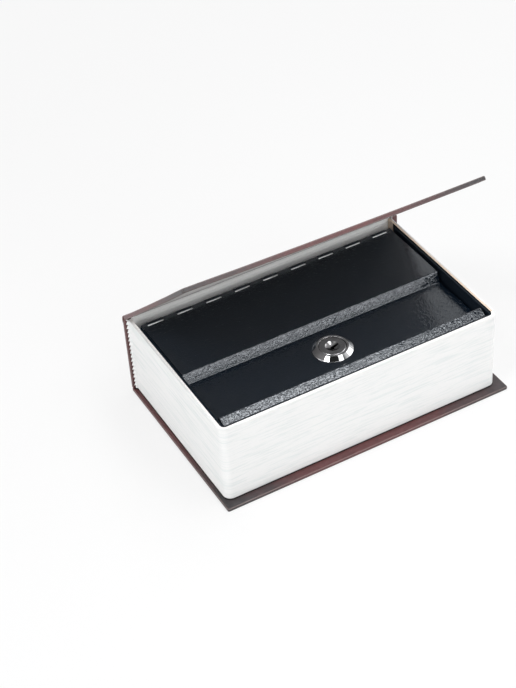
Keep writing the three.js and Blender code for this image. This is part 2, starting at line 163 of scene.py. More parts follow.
def feed(tree, node, inputs):
    """Links each input of a node to an output, or sets it to a plain value."""
    for socket, value in inputs.items():
        if isinstance(value, bpy.types.NodeSocket):
            tree.links.new(value, node.inputs[socket])
        else:
            node.inputs[socket].default_value = value


def add_node(tree, kind, inputs, **settings):
    """Adds a node with its settings, and feeds it."""
    node = tree.nodes.new("ShaderNode" + kind)
    for key, value in settings.items():
        setattr(node, key, value)
    feed(tree, node, inputs)
    return node


def object_place(tree):
    """Where a point lies on its object."""
    return add_node(tree, "TexCoord", {}).outputs["Object"]


def calc(tree, operation, *values):
    """Reckons with outputs and plain numbers."""
    return add_node(tree, "Math", dict(enumerate(values)), operation=operation).outputs["Value"]


def noise(tree, vector, **inputs):
    """Cloudy noise over a place."""
    return add_node(tree, "TexNoise", {"Vector": vector, **inputs}).outputs["Fac"]


def new_group(name, inputs, outputs):
    """A node group that puts out numbers, with the outputs of its entry and with its exit."""
    group = bpy.data.node_groups.new(name, "ShaderNodeTree")
    for socket, kind in inputs.items():
        group.interface.new_socket(socket, in_out="INPUT", socket_type="NodeSocket" + kind)
    for socket in outputs:
        group.interface.new_socket(socket, in_out="OUTPUT", socket_type="NodeSocketFloat")
    return group, group.nodes.new("NodeGroupInput").outputs, group.nodes.new("NodeGroupOutput")


def effect(tree, group, **inputs):
    """Places a node group with its own values, and gives its outputs."""
    return add_node(tree, "Group", inputs, node_tree=group).outputs


def fibre_group():
    """Paper fibre, from coarse pulp clouds to a fine tooth, as a shade round 1 and a height."""
    group, entry, leave = new_group(
        "paper_fibre", {"Size": "Float", "Depth": "Float"}, ("Shade", "Height")
    )
    pulp = noise(group, object_place(group), Scale=entry["Size"], Detail=6, Roughness=0.62)
    shade = calc(group, "MULTIPLY_ADD", calc(group, "SUBTRACT", pulp, 0.5), entry["Depth"], 1)
    feed(group, leave, {"Shade": shade, "Height": pulp})
    return group


def new_material(name):
    """A material, its nodes and its Principled shader."""
    made = bpy.data.materials.new(name)
    made.use_nodes = True
    return made, made.node_tree, made.node_tree.nodes["Principled BSDF"]


def mixed(tree, factor, first, second, blend_type="MIX"):
    """Mixes two colours."""
    inputs = {"Factor": factor, "A": first, "B": second}
    return add_node(tree, "Mix", inputs, data_type="RGBA", blend_type=blend_type).outputs["Result"]


def shaded(tree, colour, shade):
    """Multiplies a colour by a shade."""
    return mixed(tree, 1, colour, shade, "MULTIPLY")


def bumped(tree, height, strength, distance):
    """The normal of a face that a height stands out of."""
    inputs = {"Height": height, "Strength": strength, "Distance": distance}
    return add_node(tree, "Bump", inputs).outputs["Normal"]


def board_shader(name, colour):
    """Board: matt, flecked with pulp, and a little furry where it is cut."""
    made, tree, shader = new_material(name)
    fibre = effect(tree, paper_fibre, Size=1600, Depth=0.8)
    feed(tree, shader, {
        "Base Color": shaded(tree, colour, fibre["Shade"]),
        "Normal": bumped(tree, fibre["Height"], strength=0.5, distance=0.06 * mm),
        "Roughness": 0.92,
        "Specular IOR Level": 0.2,
    })
    return made


def cut_board(name, low, high):
    """One board, less its paper, with nipped corners."""
    skin = Vector((paper_thick,) * 3)
    piece = block(name, Vector(low) + skin, Vector(high) - skin)
    round_edges(piece, upright, board_corner)
    coat(piece, grey_board)
    return piece


paper_fibre = fibre_group()
grey_board = board_shader("grey_board", (0.62, 0.47, 0.34, 1))
back_low, back_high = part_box("back_cover_wrap")
half_length = back_high.x
half_depth = back_high.y

spine_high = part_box("spine_wrap")[1]
spine_flat_low = Vector((-half_length, 0, 0))
spine_flat_high = Vector((half_length, spine_high.z - cover_thick, cover_thick))

creases = {joint["name"]: joint for joint in frame["joints"]}
crease_b = Vector(creases["cover_crease_close"]["pos_m"])
crease_gap = 0.35 * mm
fore_edge = crease_b.y + half_depth
outer_swell = 0.3 * mm
outer_face = -cover_thick / 2 - outer_swell
inner_face = cover_thick / 2
front_flat_low = Vector((-half_length, crease_gap, outer_face))
front_flat_high = Vector((half_length, fore_edge, inner_face))
front_turn = math.pi + math.radians(creases["cover_crease_close"]["range_deg"][0])
corner_lift = 1.9 * mm
bow_cuts_long = 18
bow_cuts_deep = 8
cage_points_long = 7
cage_points_deep = 6


def slice_at(piece, planes):
    """Cuts a mesh across its axes at some places."""
    pick(piece, "FACE", anywhere)
    for axis, place in planes:
        across = Vector([float(i == axis) for i in range(3)])
        bpy.ops.mesh.select_all(action="SELECT")
        bpy.ops.mesh.bisect(plane_co=across * place, plane_no=across)
    close_edit()


def slice_up(piece, axis, low, high, cuts):
    """Cuts a mesh across one axis at even steps, so that it can bow."""
    slice_at(piece, [(axis, low + (high - low) * i / cuts) for i in range(1, cuts)])


def modify(piece, kind, **settings):
    """Adds a modifier to a piece and applies it."""
    only(piece)
    modifier = piece.modifiers.new(kind.lower(), kind)
    for key, value in settings.items():
        setattr(modifier, key, value)
    bpy.ops.object.modifier_apply(modifier=modifier.name)


def stand_up(piece):
    """Stands a flat piece on the rear edge of the back cover, as the spine is."""
    settle(piece, math.pi / 2, (0, half_depth, cover_thick))


def hold_open(piece):
    """Tilts a flat piece as the front cover is, with the left fore-edge corner standing higher."""
    slice_up(piece, 0, -half_length, half_length, bow_cuts_long)
    slice_up(piece, 1, 0, fore_edge, bow_cuts_deep)
    bpy.ops.object.add(type="LATTICE", location=(0, fore_edge / 2, 0))
    cage = bpy.context.active_object
    cage.scale = (2 * half_length, fore_edge, 1)
    cage.data.points_u, cage.data.points_v, cage.data.points_w = cage_points_long, cage_points_deep, 1
    cage.data.interpolation_type_u = cage.data.interpolation_type_v = "KEY_CARDINAL"
    bpy.context.view_layer.update()
    for point in cage.data.points:
        leftward = 0.5 - point.co.x
        outward = 0.5 + point.co.y
        point.co_deform.z -= corner_lift * leftward ** 2 * outward ** 1.5
    modify(piece, "LATTICE", object=cage)
    bpy.data.objects.remove(cage)
    settle(piece, front_turn, crease_b)


back_board = cut_board("back_cover_board", back_low, back_high)
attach(back_board, "root")
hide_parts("back_board")
spine_board = cut_board("spine_stiffener", spine_flat_low, spine_flat_high)
stand_up(spine_board)
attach(spine_board, "root")
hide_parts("spine_board")
front_board = cut_board("front_cover_board", front_flat_low, front_flat_high)
hold_open(front_board)
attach(front_board, "front_cover")
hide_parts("front_board")


# Wraps: printed paper glued round the outside of each board and turned in over its edges.
# The print is a mottled brown, redder in the middle and greyer at the corners, with a satin varnish,
# and its rounded edges are lightened, partly as wear and partly as a painted highlight.
same_place = 0.001 * mm
wrap_corner = 1.1 * mm
wrap_edge = 0.6 * mm
wrap_edge_cuts = 4
wrap_skin = 0.94 * paper_thick
rub_highlight_reach = 0.7 * wrap_edge
wrap_red = (0.080, 0.025, 0.026, 1)
wrap_grey = (0.030, 0.027, 0.029, 1)
wrap_worn_highlight = (0.18, 0.125, 0.115, 1)
wrap_rough = (0.3, 0.46)
grey_from = 0.080
grey_to = 0.150
grey_drift = 0.07
grey_by_height = 0.45
back_turn_in = 15 * mm
spine_turn_in = 10 * mm
front_turn_in = 3 * mm


def place_along(tree, axis):
    """Where a point lies along one axis of its object."""
    return add_node(tree, "SeparateXYZ", {"Vector": object_place(tree)}).outputs[axis]


def remap(tree, value, from_low, from_high, to_low=0, to_high=1, curve="LINEAR"):
    """Carries a value from one range to another."""
    inputs = {
        "Value": value, "From Min": from_low, "From Max": from_high, "To Min": to_low, "To Max": to_high
    }
    return add_node(tree, "MapRange", inputs, interpolation_type=curve).outputs["Result"]


def mesh_mark(tree, name):
    """A mark that the mesh carries."""
    return add_node(tree, "Attribute", {}, attribute_name=name).outputs["Fac"]


def wrap_shader(name):
    """Varnished printed paper: mottled, with its tooth in the varnish and its ends a little rubbed and
    lightened, partly as a painted highlight.
    """
    made, tree, shader = new_material(name)
    reach = calc(tree, "ABSOLUTE", place_along(tree, "X"))
    risen = calc(tree, "MAXIMUM", calc(tree, "SUBTRACT", place_along(tree, "Z"), spine_high.z), 0)
    outer = calc(tree, "MULTIPLY_ADD", risen, grey_by_height, reach)
    clouds = noise(tree, object_place(tree), Scale=42, Detail=5, Roughness=0.6)
    drift = calc(tree, "MULTIPLY", calc(tree, "SUBTRACT", clouds, 0.5), grey_drift)
    corner = calc(tree, "ADD", calc(tree, "SUBTRACT", outer, place_along(tree, "Y")), drift)
    grey = remap(tree, corner, grey_from, grey_to, curve="SMOOTHSTEP")
    speckle = effect(tree, paper_fibre, Size=380, Depth=1.1)
    tooth = effect(tree, paper_fibre, Size=1900, Depth=1)
    mottled = shaded(tree, mixed(tree, grey, wrap_red, wrap_grey), speckle["Shade"])
    # Lighter rounded edges: partly wear, partly a painted highlight along each edge.
    worn_highlight = calc(tree, "MULTIPLY", mesh_mark(tree, "rubbed_highlight"), clouds)
    feed(tree, shader, {
        "Base Color": mixed(tree, worn_highlight, mottled, wrap_worn_highlight),
        "Roughness": remap(tree, speckle["Height"], 0, 1, *wrap_rough),
        "Normal": bumped(tree, tooth["Height"], strength=0.35, distance=0.03 * mm),
    })
    return made


def level_edge(middle, direction):
    return abs(direction.z) < 0.1


def wrap_paper(name, low, high, turn_in):
    """Paper over the low face and round the edges, and turned in over the high face."""
    piece = block(name, low, high)
    round_edges(piece, upright, wrap_corner)
    round_edges(piece, level_edge, wrap_edge, wrap_edge_cuts)
    # The mark rises towards each rounded edge, where the lighter colour is partly a painted highlight.
    rubbed_highlight = piece.data.attributes.new("rubbed_highlight", "FLOAT", "POINT")
    for vertex, mark in zip(piece.data.vertices, rubbed_highlight.data):
        into = sorted(
            max(low[i] + wrap_edge - vertex.co[i], vertex.co[i] - high[i] + wrap_edge, 0)
            for i in range(3)
        )
        mark.value = min(1, into[1] / rub_highlight_reach)
    left, right = low.x + turn_in, high.x - turn_in
    near, far = low.y + turn_in, high.y - turn_in
    slice_at(piece, ((0, left), (0, right), (1, near), (1, far)))
    pick(piece, "FACE", lambda middle, normal: (
        abs(middle.z - high.z) < same_place and left < middle.x < right and near < middle.y < far
    ))
    bpy.ops.mesh.delete(type="FACE")
    close_edit()
    modify(piece, "SOLIDIFY", thickness=wrap_skin, offset=-1)
    coat(piece, cover_wrap)
    return piece


def soften(piece, degrees=35):
    """Smooth shading over the bends, with the flat faces kept flat."""
    only(piece)
    bpy.ops.object.shade_smooth_by_angle(angle=math.radians(degrees))


cover_wrap = wrap_shader("cover_wrap")
back_wrap = wrap_paper("back_cover_paper", back_low, back_high, back_turn_in)
soften(back_wrap)
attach(back_wrap, "root")
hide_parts("back_cover_wrap")
spine_wrap = wrap_paper("spine_paper", spine_flat_low, spine_flat_high, spine_turn_in)
stand_up(spine_wrap)
soften(spine_wrap)
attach(spine_wrap, "root")
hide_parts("spine_wrap")
front_wrap = wrap_paper("front_cover_paper", front_flat_low, front_flat_high, front_turn_in)
hold_open(front_wrap)
soften(front_wrap)
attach(front_wrap, "front_cover")
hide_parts("front_cover_wrap")


# Linings: paper glued over the turn-ins, white in the back cover and spine, and in the front cover a
# grey that paints the shade under the raised cover.
# They are cut a little short of the board, and their edges are thin enough to show as a line.
lining_proud = 0.08 * mm
lining_edge = 0.05 * mm
lining_edge_cuts = 2


def paper_shader(name, colour):
    """Uncoated paper: faint pulp clouds and a fine tooth."""
    made, tree, shader = new_material(name)
    fibre = effect(tree, paper_fibre, Size=700, Depth=0.16)
    feed(tree, shader, {
        "Base Color": shaded(tree, colour, fibre["Shade"]),
        "Normal": bumped(tree, fibre["Height"], strength=0.4, distance=0.03 * mm),
        "Roughness": 0.85,
        "Specular IOR Level": 0.25,
    })
    return made


def lining_sheet(name, low, high, finish):
    """A cut sheet of lining."""
    piece = block(name, low, high)
    round_edges(piece, anywhere, lining_edge, lining_edge_cuts)
    coat(piece, finish)
    return piece


lining_paper = paper_shader("lining_paper", (0.90, 0.90, 0.89, 1))
# Painted shade: the front cover's lining is the same paper made grey for the shade it lies in.
shade_grey_endpaper = paper_shader("shade_grey_endpaper", (0.40, 0.39, 0.385, 1))
base_low, base_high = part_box("base_lining")
base_lining = lining_sheet(
    "base_lining_sheet", base_low, base_high + Vector((0, 0, lining_proud)), lining_paper
)
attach(base_lining, "root")
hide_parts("base_lining")
strip_low, strip_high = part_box("spine_lining")
left_wall_low, left_wall_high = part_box("page_board_left")
right_wall_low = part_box("page_board_right")[0]
spine_lining = lining_sheet(
    "spine_lining_sheet",
    (left_wall_high.x, strip_low.y, strip_low.z),
    (right_wall_low.x, strip_low.y + paper_thick, strip_high.z),
    lining_paper,
)
soften(spine_lining)
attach(spine_lining, "root")
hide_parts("spine_lining")
pastedown = lining_sheet(
    "front_cover_lining",
    (-half_length + front_turn_in, crease_gap + front_turn_in, inner_face - paper_thick),
    (half_length - front_turn_in, fore_edge - front_turn_in, inner_face + lining_proud),
    shade_grey_endpaper,
)
hold_open(pastedown)
soften(pastedown)
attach(pastedown, "front_cover")
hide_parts("front_pastedown")


# Cover joint: the bare wrap, and inside it the lining, bridge the gap between spine and front cover.
# Each bridge is one soft strip in two halves, which meet on the cloth between the two creases.
cover_along = Vector((0, math.cos(front_turn), math.sin(front_turn)))
cover_out = Vector((0, math.sin(front_turn), -math.cos(front_turn)))
rear_edge = crease_b + cover_along * crease_gap
joint_skin = 0.12 * mm
outer_lap = 2.6 * mm
outer_drop = 0.3 * mm
outer_bulge = Vector((0, 0.25 * mm, 0.1 * mm))
inner_lap = 2.4 * mm
inner_drop = 0.1 * mm
inner_overlap = 0.6 * mm
bend_cuts = 8


def fold(name, path, run, bends=()):
    """A sheet pushed along a path from one edge, with a round bend at each inner point."""
    path = [Vector(point) for point in path]
    run = Vector(run)
    side = path[1] - path[0]
    turn = Matrix((side, run, side.cross(run).normalized())).transposed().to_4x4()
    bpy.ops.mesh.primitive_plane_add(size=1)
    bpy.context.active_object.matrix_world = Matrix.Translation(path[0] + (side + run) / 2) @ turn
    piece = added(name)
    for here, there in zip(path[1:], path[2:]):
        middle = here + run / 2
        pick(piece, "EDGE", lambda at, direction: (at - middle).length < same_place)
        bpy.ops.mesh.extrude_region_move(TRANSFORM_OT_translate={"value": there - here})
        close_edit()
    for before, here, after, radius in zip(path, path[1:], path[2:], bends):
        middle = here + run / 2
        reach = radius * math.tan((here - before).angle(after - here) / 2)
        round_edges(piece, lambda at, direction: (at - middle).length < same_place, reach, bend_cuts)
    pick(piece, "FACE", anywhere)
    bpy.ops.mesh.normals_make_consistent(inside=False)
    close_edit()
    return piece


def bend_strip(name, points, low_x, high_x, thick, finish):
    """A soft strip through a few points, smoothed by a subdivision surface."""
    path = [(low_x, point.y, point.z) for point in points]
    piece = fold(name, path, (high_x - low_x, 0, 0))
    slice_up(piece, 0, low_x, high_x, bow_cuts_long)
    modify(piece, "SUBSURF", levels=2, render_levels=2, boundary_smooth="PRESERVE_CORNERS")
    modify(piece, "SOLIDIFY", thickness=thick, offset=0)
    only(piece)
    bpy.ops.object.shade_smooth()
    coat(piece, finish)
    return piece


outer_start = Vector((0, half_depth + joint_skin / 2, spine_high.z - outer_lap))
outer_corner = Vector((0, half_depth + joint_skin / 2, spine_high.z - outer_drop))
outer_rear = rear_edge + cover_out * (joint_skin / 2 - outer_face)
outer_end = outer_rear + cover_along * outer_lap
outer_middle = (outer_corner + outer_rear) / 2 + outer_bulge
inner_start = Vector((0, strip_low.y - joint_skin / 2, spine_high.z - inner_lap))
inner_corner = Vector((0, strip_low.y - joint_skin / 2, spine_high.z - inner_drop))
inner_rear = rear_edge - cover_out * (inner_face + joint_skin / 2 + lining_proud)
inner_end = inner_rear + cover_along * (front_turn_in + inner_overlap)
inner_middle = (inner_corner + inner_rear) / 2
joint_strips = (
    ("joint_paper", cover_wrap, "cover_wrap", -half_length, half_length,
     (outer_start, outer_corner, outer_middle, outer_rear, outer_end)),
    ("joint_lining", lining_paper, "lining_paper", left_wall_high.x, right_wall_low.x,
     (inner_start, inner_corner, inner_middle, inner_rear, inner_end)),
)
for name, finish, slot, low_x, high_x, line in joint_strips:
    lower = bend_strip(name + "_lower", line[:3], low_x, high_x, joint_skin, finish)
    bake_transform(lower)
    upper = bend_strip(name + "_upper", line[2:], low_x, high_x, joint_skin, finish)
    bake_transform(upper)
    if name == "joint_paper":
        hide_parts("joint_cloth")


# Page block: three card walls carry one white paper, embossed with page edges and wrapped round them.
# The paper bends round two corners, is darkened along its foot by a painted shadow line, and ends in
# teeth at the spine.
page_low, page_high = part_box("page_paper")
page_thick = left_wall_low.x - page_low.x
page_radius = 4.5 * mm
page_cuts_long = 96
page_cuts_deep = 64
tooth_count = 17
cuts_per_tooth = 5
tooth_depth = 1.5 * mm
emboss_depth = 0.1 * mm
emboss_size = (46 * mm, 46 * mm, 1.5 * mm)
streak_range = (0.34, 0.52)
# Painted shadow: the paper's lowest strip is darkened as the shade where the block stands on the cover.
foot_shadow_height = 0.9 * mm
foot_shadow_fade = 1.25 * foot_shadow_height
foot_shadow_tone = 0.015


def stretched(tree, scale):
    """Where a point lies on its object, with its axes scaled."""
    return add_node(tree, "Mapping", {"Vector": object_place(tree), "Scale": scale}).outputs["Vector"]


def ramp(tree, value, low, high, low_at=0, high_at=1):
    """Colours a value, from one tone to another."""
    node = add_node(tree, "ValToRGB", {"Fac": value})
    for element, tone, at in zip(node.color_ramp.elements, (low, high), (low_at, high_at)):
        element.position = at
        element.color = tone
    return node.outputs["Color"]


def page_shader(name):
    """White paper printed and pressed with page edges: faint wavy streaks round the block, and a
    painted shadow along its foot.
    """
    made, tree, shader = new_material(name)
    streaks = noise(
        tree, stretched(tree, (52, 36, 760)), Scale=1, Detail=3, Roughness=0.55, Distortion=0.5
    )
    tone = ramp(tree, streaks, (0.69, 0.715, 0.71, 1), (0.775, 0.775, 0.77, 1), *streak_range)
    fibre = effect(tree, paper_fibre, Size=900, Depth=0.06)
    # Painted shadow line along the paper's foot.
    painted_foot_band = remap(
        tree, place_along(tree, "Z"), page_low.z + foot_shadow_height, page_low.z + foot_shadow_fade, foot_shadow_tone
    )
    feed(tree, shader, {
        "Base Color": shaded(tree, shaded(tree, tone, fibre["Shade"]), painted_foot_band),
        "Normal": bumped(tree, streaks, strength=0.5, distance=0.09 * mm),
        "Roughness": 0.78,
        "Specular IOR Level": 0.3,
    })
    return made


page_half = page_thick / 2
page_left, page_right = page_low.x + page_half, page_high.x - page_half
page_front, page_back = page_low.y + page_half, half_depth - cover_thick
page_height = page_high.z - page_low.z
page_paper = fold(
    "page_edge_paper",
    [
        (page_right, page_back, page_low.z),
        (page_right, page_front, page_low.z),
        (page_left, page_front, page_low.z),
        (page_left, page_back, page_low.z),
    ],
    (0, 0, page_height),
    [page_radius - page_half] * 2,
)
slice_up(page_paper, 0, page_low.x + page_radius, page_high.x - page_radius, page_cuts_long)
slice_up(page_paper, 1, page_low.y + page_radius, page_back, page_cuts_deep)
slice_up(page_paper, 2, page_low.z, page_high.z, tooth_count * cuts_per_tooth)
page_step = page_height / (tooth_count * cuts_per_tooth)
for end in (-1, 1):
    for i in range(cuts_per_tooth):
        pick(
            page_paper, "VERT",
            lambda at, normal: page_back - at.y < same_place and at.x * end > 0
            and round((at.z - page_low.z) / page_step) % cuts_per_tooth == i,
        )
        bpy.ops.transform.translate(value=(end * tooth_depth * (1 - i / cuts_per_tooth), 0, 0))
        close_edit()
ripple = bpy.data.textures.new("page_ripple", "CLOUDS")
ripple.noise_scale = 1
ripple.noise_depth = 3
ripple_frame = bpy.data.objects.new("page_ripple_frame", None)
bpy.context.scene.collection.objects.link(ripple_frame)
ripple_frame.scale = emboss_size
bpy.context.view_layer.update()
modify(
    page_paper, "DISPLACE", texture=ripple, texture_coords="OBJECT", texture_coords_object=ripple_frame,
    strength=emboss_depth, mid_level=0.5,
)
bpy.data.objects.remove(ripple_frame)
modify(page_paper, "SOLIDIFY", thickness=page_thick - emboss_depth, offset=0)
soften(page_paper, degrees=50)
coat(page_paper, page_shader("page_paper"))
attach(page_paper, "root")
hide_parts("page_paper")
front_wall_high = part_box("page_board_front")[1]
# Painted shade: the card's inner faces beside the box are coloured black for the shade in the gap.
gap_shade_back = 50 * mm
gap_shade_margin = 0.04 * mm
gap_shade_black = (0.012, 0.012, 0.013, 1)


def reopen(made):
    """The nodes and the shader of a finished material, and the output that colours it."""
    shader = made.node_tree.nodes["Principled BSDF"]
    return made.node_tree, shader, shader.inputs["Base Color"].links[0].from_socket


def card_shader(name, colour):
    """Board whose inner face, as far as the box stands beside it, is painted black as the shade of the
    narrow gap.
    """
    made = board_shader(name, colour)
    tree, shader, plain = reopen(made)
    inside = 1
    for axis, operation, limit in (
        ("X", "GREATER_THAN", left_wall_high.x - gap_shade_margin),
        ("X", "LESS_THAN", right_wall_low.x + gap_shade_margin),
        ("Y", "GREATER_THAN", front_wall_high.y - gap_shade_margin),
        ("Y", "LESS_THAN", gap_shade_back),
    ):
        inside = calc(tree, "MULTIPLY", inside, calc(tree, operation, place_along(tree, axis), limit))
    feed(tree, shader, {"Base Color": mixed(tree, inside, plain, gap_shade_black)})
    return made


white_card = card_shader("white_card", (0.86, 0.85, 0.83, 1))
tan_card = card_shader("tan_card", (0.66, 0.54, 0.44, 1))
for name, card in (("front", white_card), ("left", white_card), ("right", tan_card)):
    coat(frame["nodes"]["page_board_" + name], card)


# Mounting tape: two pads of closed-cell foam with glue on both faces, which hold the box to the cover.
# The foam is cut by a knife, and its cells show as fine pits.
def foam_shader(name):
    """Closed-cell foam: grey, with a pit for each cell."""
    made, tree, shader = new_material(name)
    cells = add_node(tree, "TexVoronoi", {"Vector": object_place(tree), "Scale": 2600})
    pits = cells.outputs["Distance"]
    feed(tree, shader, {
        "Base Color": ramp(tree, pits, (0.16, 0.16, 0.155, 1), (0.36, 0.36, 0.35, 1)),
        "Normal": bumped(tree, pits, strength=0.7, distance=0.1 * mm),
        "Roughness": 0.9,
    })
    return made


foam_tape = foam_shader("foam_tape")
for name in ("mounting_tape_front", "mounting_tape_back"):
    coat(frame["nodes"][name], foam_tape)


# Steel box: one sheet folded up into a tray and welded at its corners, then powder coated in black.
# The coat is a wrinkle finish, a fine leather-like grain that shows wherever light strikes along it.
paint_hollow = (0.0016, 0.0046, 0.0095, 1)
paint_ridge = (0.0036, 0.0075, 0.0140, 1)
paint_tint = (0.91, 0.955, 1, 1)
ridge_width = 0.25
level_calm = 0.42


def wrinkle_group():
    """The grain of a wrinkle powder coat, as a height and as its broad waves."""
    group, entry, leave = new_group("wrinkle_grain", {"Size": "Float"}, ("Height", "Waves"))
    worms = noise(
        group, stretched(group, (0.75, 1, 1)),
        Scale=entry["Size"], Detail=1.2, Roughness=0.4, Distortion=0.9,
    )
    ridge = calc(group, "ABSOLUTE", calc(group, "SUBTRACT", worms, 0.5))
    feed(group, leave, {
        "Height": remap(group, ridge, 0, ridge_width, curve="SMOOTHSTEP"),
        "Waves": noise(group, object_place(group), Scale=55, Detail=3),
    })
    return group


def paint_shader(name, grain_size, depth, rough, shine):
    """Black wrinkle coat over steel, which flowed out smoother where it lay level."""
    made, tree, shader = new_material(name)
    grain = effect(tree, wrinkle_grain, Size=grain_size)
    calm = remap(tree, mesh_mark(tree, "level"), 0, 1, 1, level_calm)
    raised = calc(tree, "MULTIPLY", grain["Height"], calm)
    feed(tree, shader, {
        "Base Color": ramp(tree, grain["Height"], paint_hollow, paint_ridge),
        "Normal": bumped(tree, raised, strength=1, distance=depth),
        "Roughness": remap(tree, grain["Waves"], 0, 1, *rough),
        "Specular IOR Level": shine,
        "Specular Tint": paint_tint,
    })
    return made


wrinkle_grain = wrinkle_group()
black_paint = paint_shader("black_paint", grain_size=640, depth=0.05 * mm, rough=(0.55, 0.7), shine=0.2)
for name in ("box_body", "strike_plate"):
    coat(frame["nodes"][name], black_paint)


# Hinge leaf: a strip of sheet steel spot welded outside the box's rear wall and coated with it.
# Its nine tabs are rolled round the wire into knuckles, which leaves a seam under each.
leaf_low, leaf_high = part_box("hinge_leaf")
pin_low, pin_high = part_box("hinge_pin")
hinge_y = (pin_low.y + pin_high.y) / 2
hinge_z = (pin_low.z + pin_high.z) / 2
leaf_back = leaf_low.y + 0.8 * mm
leaf_drop = 0.35 * mm
riser_foot = leaf_low.z + 6 * mm
knuckle_radius = leaf_high.y - hinge_y
knuckle_wall = 0.75 * mm
knuckle_count = 9
knuckle_length = 9.6 * mm
knuckle_pitch = (leaf_high.x - leaf_low.x - knuckle_length) / (knuckle_count - 1)
knuckle_sides = 28
knuckle_edge = 0.14 * mm
seam_spread = 0.985
# Bare steel on each knuckle's front top: partly wear, partly a painted highlight dash.
bare_steel_highlight = (0.86, 0.86, 0.87, 1)
bare_highlight_most = 0.95
bare_highlight_heights = (hinge_z + 0.45 * mm, hinge_z + 1.1 * mm)
bare_highlight_depths = (hinge_y - 0.9 * mm, hinge_y - 1.5 * mm)


def hinge_shader(name):
    """The same coat, rubbed thin by the lid where the knuckles stand out of their notches: the bare
    steel there is partly wear and partly a painted highlight.
    """
    made = paint_shader(name, grain_size=640, depth=0.01 * mm, rough=(0.36, 0.5), shine=0.4)
    tree, shader, coated = reopen(made)
    raised = remap(tree, place_along(tree, "Z"), *bare_highlight_heights, 0, bare_highlight_most)
    bare_highlight = calc(tree, "MULTIPLY", raised, remap(tree, place_along(tree, "Y"), *bare_highlight_depths))
    feed(tree, shader, {"Metallic": bare_highlight, "Base Color": mixed(tree, bare_highlight, coated, bare_steel_highlight)})
    return made


def break_edges(piece, width, cuts, degrees):
    """Rounds every edge that turns by more than some degrees."""
    limit = math.radians(degrees)
    modify(piece, "BEVEL", width=width, segments=cuts, limit_method="ANGLE", angle_limit=limit)


def rolled(name, middle_x, length, radius, wall, seam):
    """A tube rolled from sheet, open along a seam whose faces point along a direction."""
    bpy.ops.mesh.primitive_cylinder_add(
        vertices=knuckle_sides, radius=radius, depth=length, end_fill_type="NOTHING",
        location=(middle_x, hinge_y, hinge_z), rotation=(0, math.pi / 2, 0),
    )
    piece = added(name)
    pick(piece, "FACE", lambda middle, normal: normal.dot(seam) > seam_spread)
    bpy.ops.mesh.delete(type="FACE")
    close_edit()
    modify(piece, "SOLIDIFY", thickness=wall, offset=-1)
    break_edges(piece, knuckle_edge, cuts=2, degrees=50)
    return piece


def join(name, pieces):
    """Several meshes as one piece."""
    only(pieces[0])
    for piece in pieces[1:]:
        piece.select_set(True)
    bpy.ops.object.join()
    pieces[0].name = name
    return pieces[0]


seam_down = Vector((0, -0.6, -0.8)).normalized()
leaf_parts = [block("leaf", leaf_low, (leaf_high.x, leaf_back, hinge_z - knuckle_radius - leaf_drop))]
knuckle_places = []
for i in range(knuckle_count):
    middle_x = leaf_low.x + knuckle_length / 2 + i * knuckle_pitch
    knuckle_places.append(middle_x)
    low_x, high_x = middle_x - knuckle_length / 2, middle_x + knuckle_length / 2
    leaf_parts.append(block("riser", (low_x, leaf_low.y, riser_foot), (high_x, leaf_back, hinge_z)))
    leaf_parts.append(
        rolled("knuckle", middle_x, knuckle_length, knuckle_radius, knuckle_wall, seam_down)
    )
hinge_leaf = join("box_hinge_leaf", leaf_parts)
soften(hinge_leaf)
coat(hinge_leaf, hinge_shader("hinge_paint"))
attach(hinge_leaf, "root")
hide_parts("hinge_leaf")


# Hinge wire: hard drawn steel wire, pushed through all the knuckles and cut off square.
# Drawing leaves fine scratches along it.
wire_stretch = (40, 3000, 3000)
mark_faint = 0.3
mark_strong = 0.7
mark_tone = 0.86


def marks_group():
    """The marks that drawing, stamping or polishing leaves on metal, as a mask."""
    group, entry, leave = new_group("metal_marks", {"Size": "Float", "Stretch": "Vector"}, ("Mask",))
    pulled = stretched(group, entry["Stretch"])
    feed(group, leave, {"Mask": noise(group, pulled, Scale=entry["Size"], Detail=5)})
    return group


def metal_shader(name, colour, rough, size, stretch=(1, 1, 1), depth=0):
    """Plated or bare metal: polish and tone that vary with its marks."""
    made, tree, shader = new_material(name)
    marks = effect(tree, metal_marks, Size=size, Stretch=stretch)["Mask"]
    dulled = tuple(value * mark_tone for value in colour[:3]) + (1,)
    feed(tree, shader, {
        "Base Color": ramp(tree, marks, dulled, colour, mark_faint, mark_strong),
        "Roughness": remap(tree, marks, mark_faint, mark_strong, *rough),
        "Metallic": 1,
    })
    if depth:
        feed(tree, shader, {"Normal": bumped(tree, marks, strength=0.5, distance=depth)})
    return made


metal_marks = marks_group()
steel_wire = metal_shader(
    "steel_wire", (0.58, 0.58, 0.57, 1), rough=(0.2, 0.42), size=1, stretch=wire_stretch
)
coat(frame["nodes"]["hinge_pin"], steel_wire)


# Lid: one steel pressing, coated as the box is, with a step down to the lock and a raised front lip.
# Its rear edge is notched for the box's knuckles, and the tabs between are rolled round the same wire.
lid_low, lid_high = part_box("box_lid")
lid_thick = 1 * mm
lid_half = lid_thick / 2
valley_top = lid_low.z + lid_thick
plateau_top = valley_top + 5.6 * mm
lip_top = lid_high.z
step_run = 2.6 * mm
step_top = lid_low.y + 47.8 * mm
lip_back = lid_low.y + 8 * mm
lip_slope_run = 1.8 * mm
lip_fall = 2.2 * mm
flange_depth = 7.8 * mm
lid_back = hinge_y + 0.7 * mm
lid_rim = 0.22 * mm
notch_gap = 0.35 * mm
tab_radius = 1.75 * mm
tab_wall = 0.5 * mm
lock_low, lock_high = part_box("lock_housing")
lock_x = (lock_low.x + lock_high.x) / 2
lock_y = (lock_low.y + lock_high.y) / 2
barrel_radius = 9.3 * mm
hole_radius = barrel_radius + 0.3 * mm
hole_sides = 72
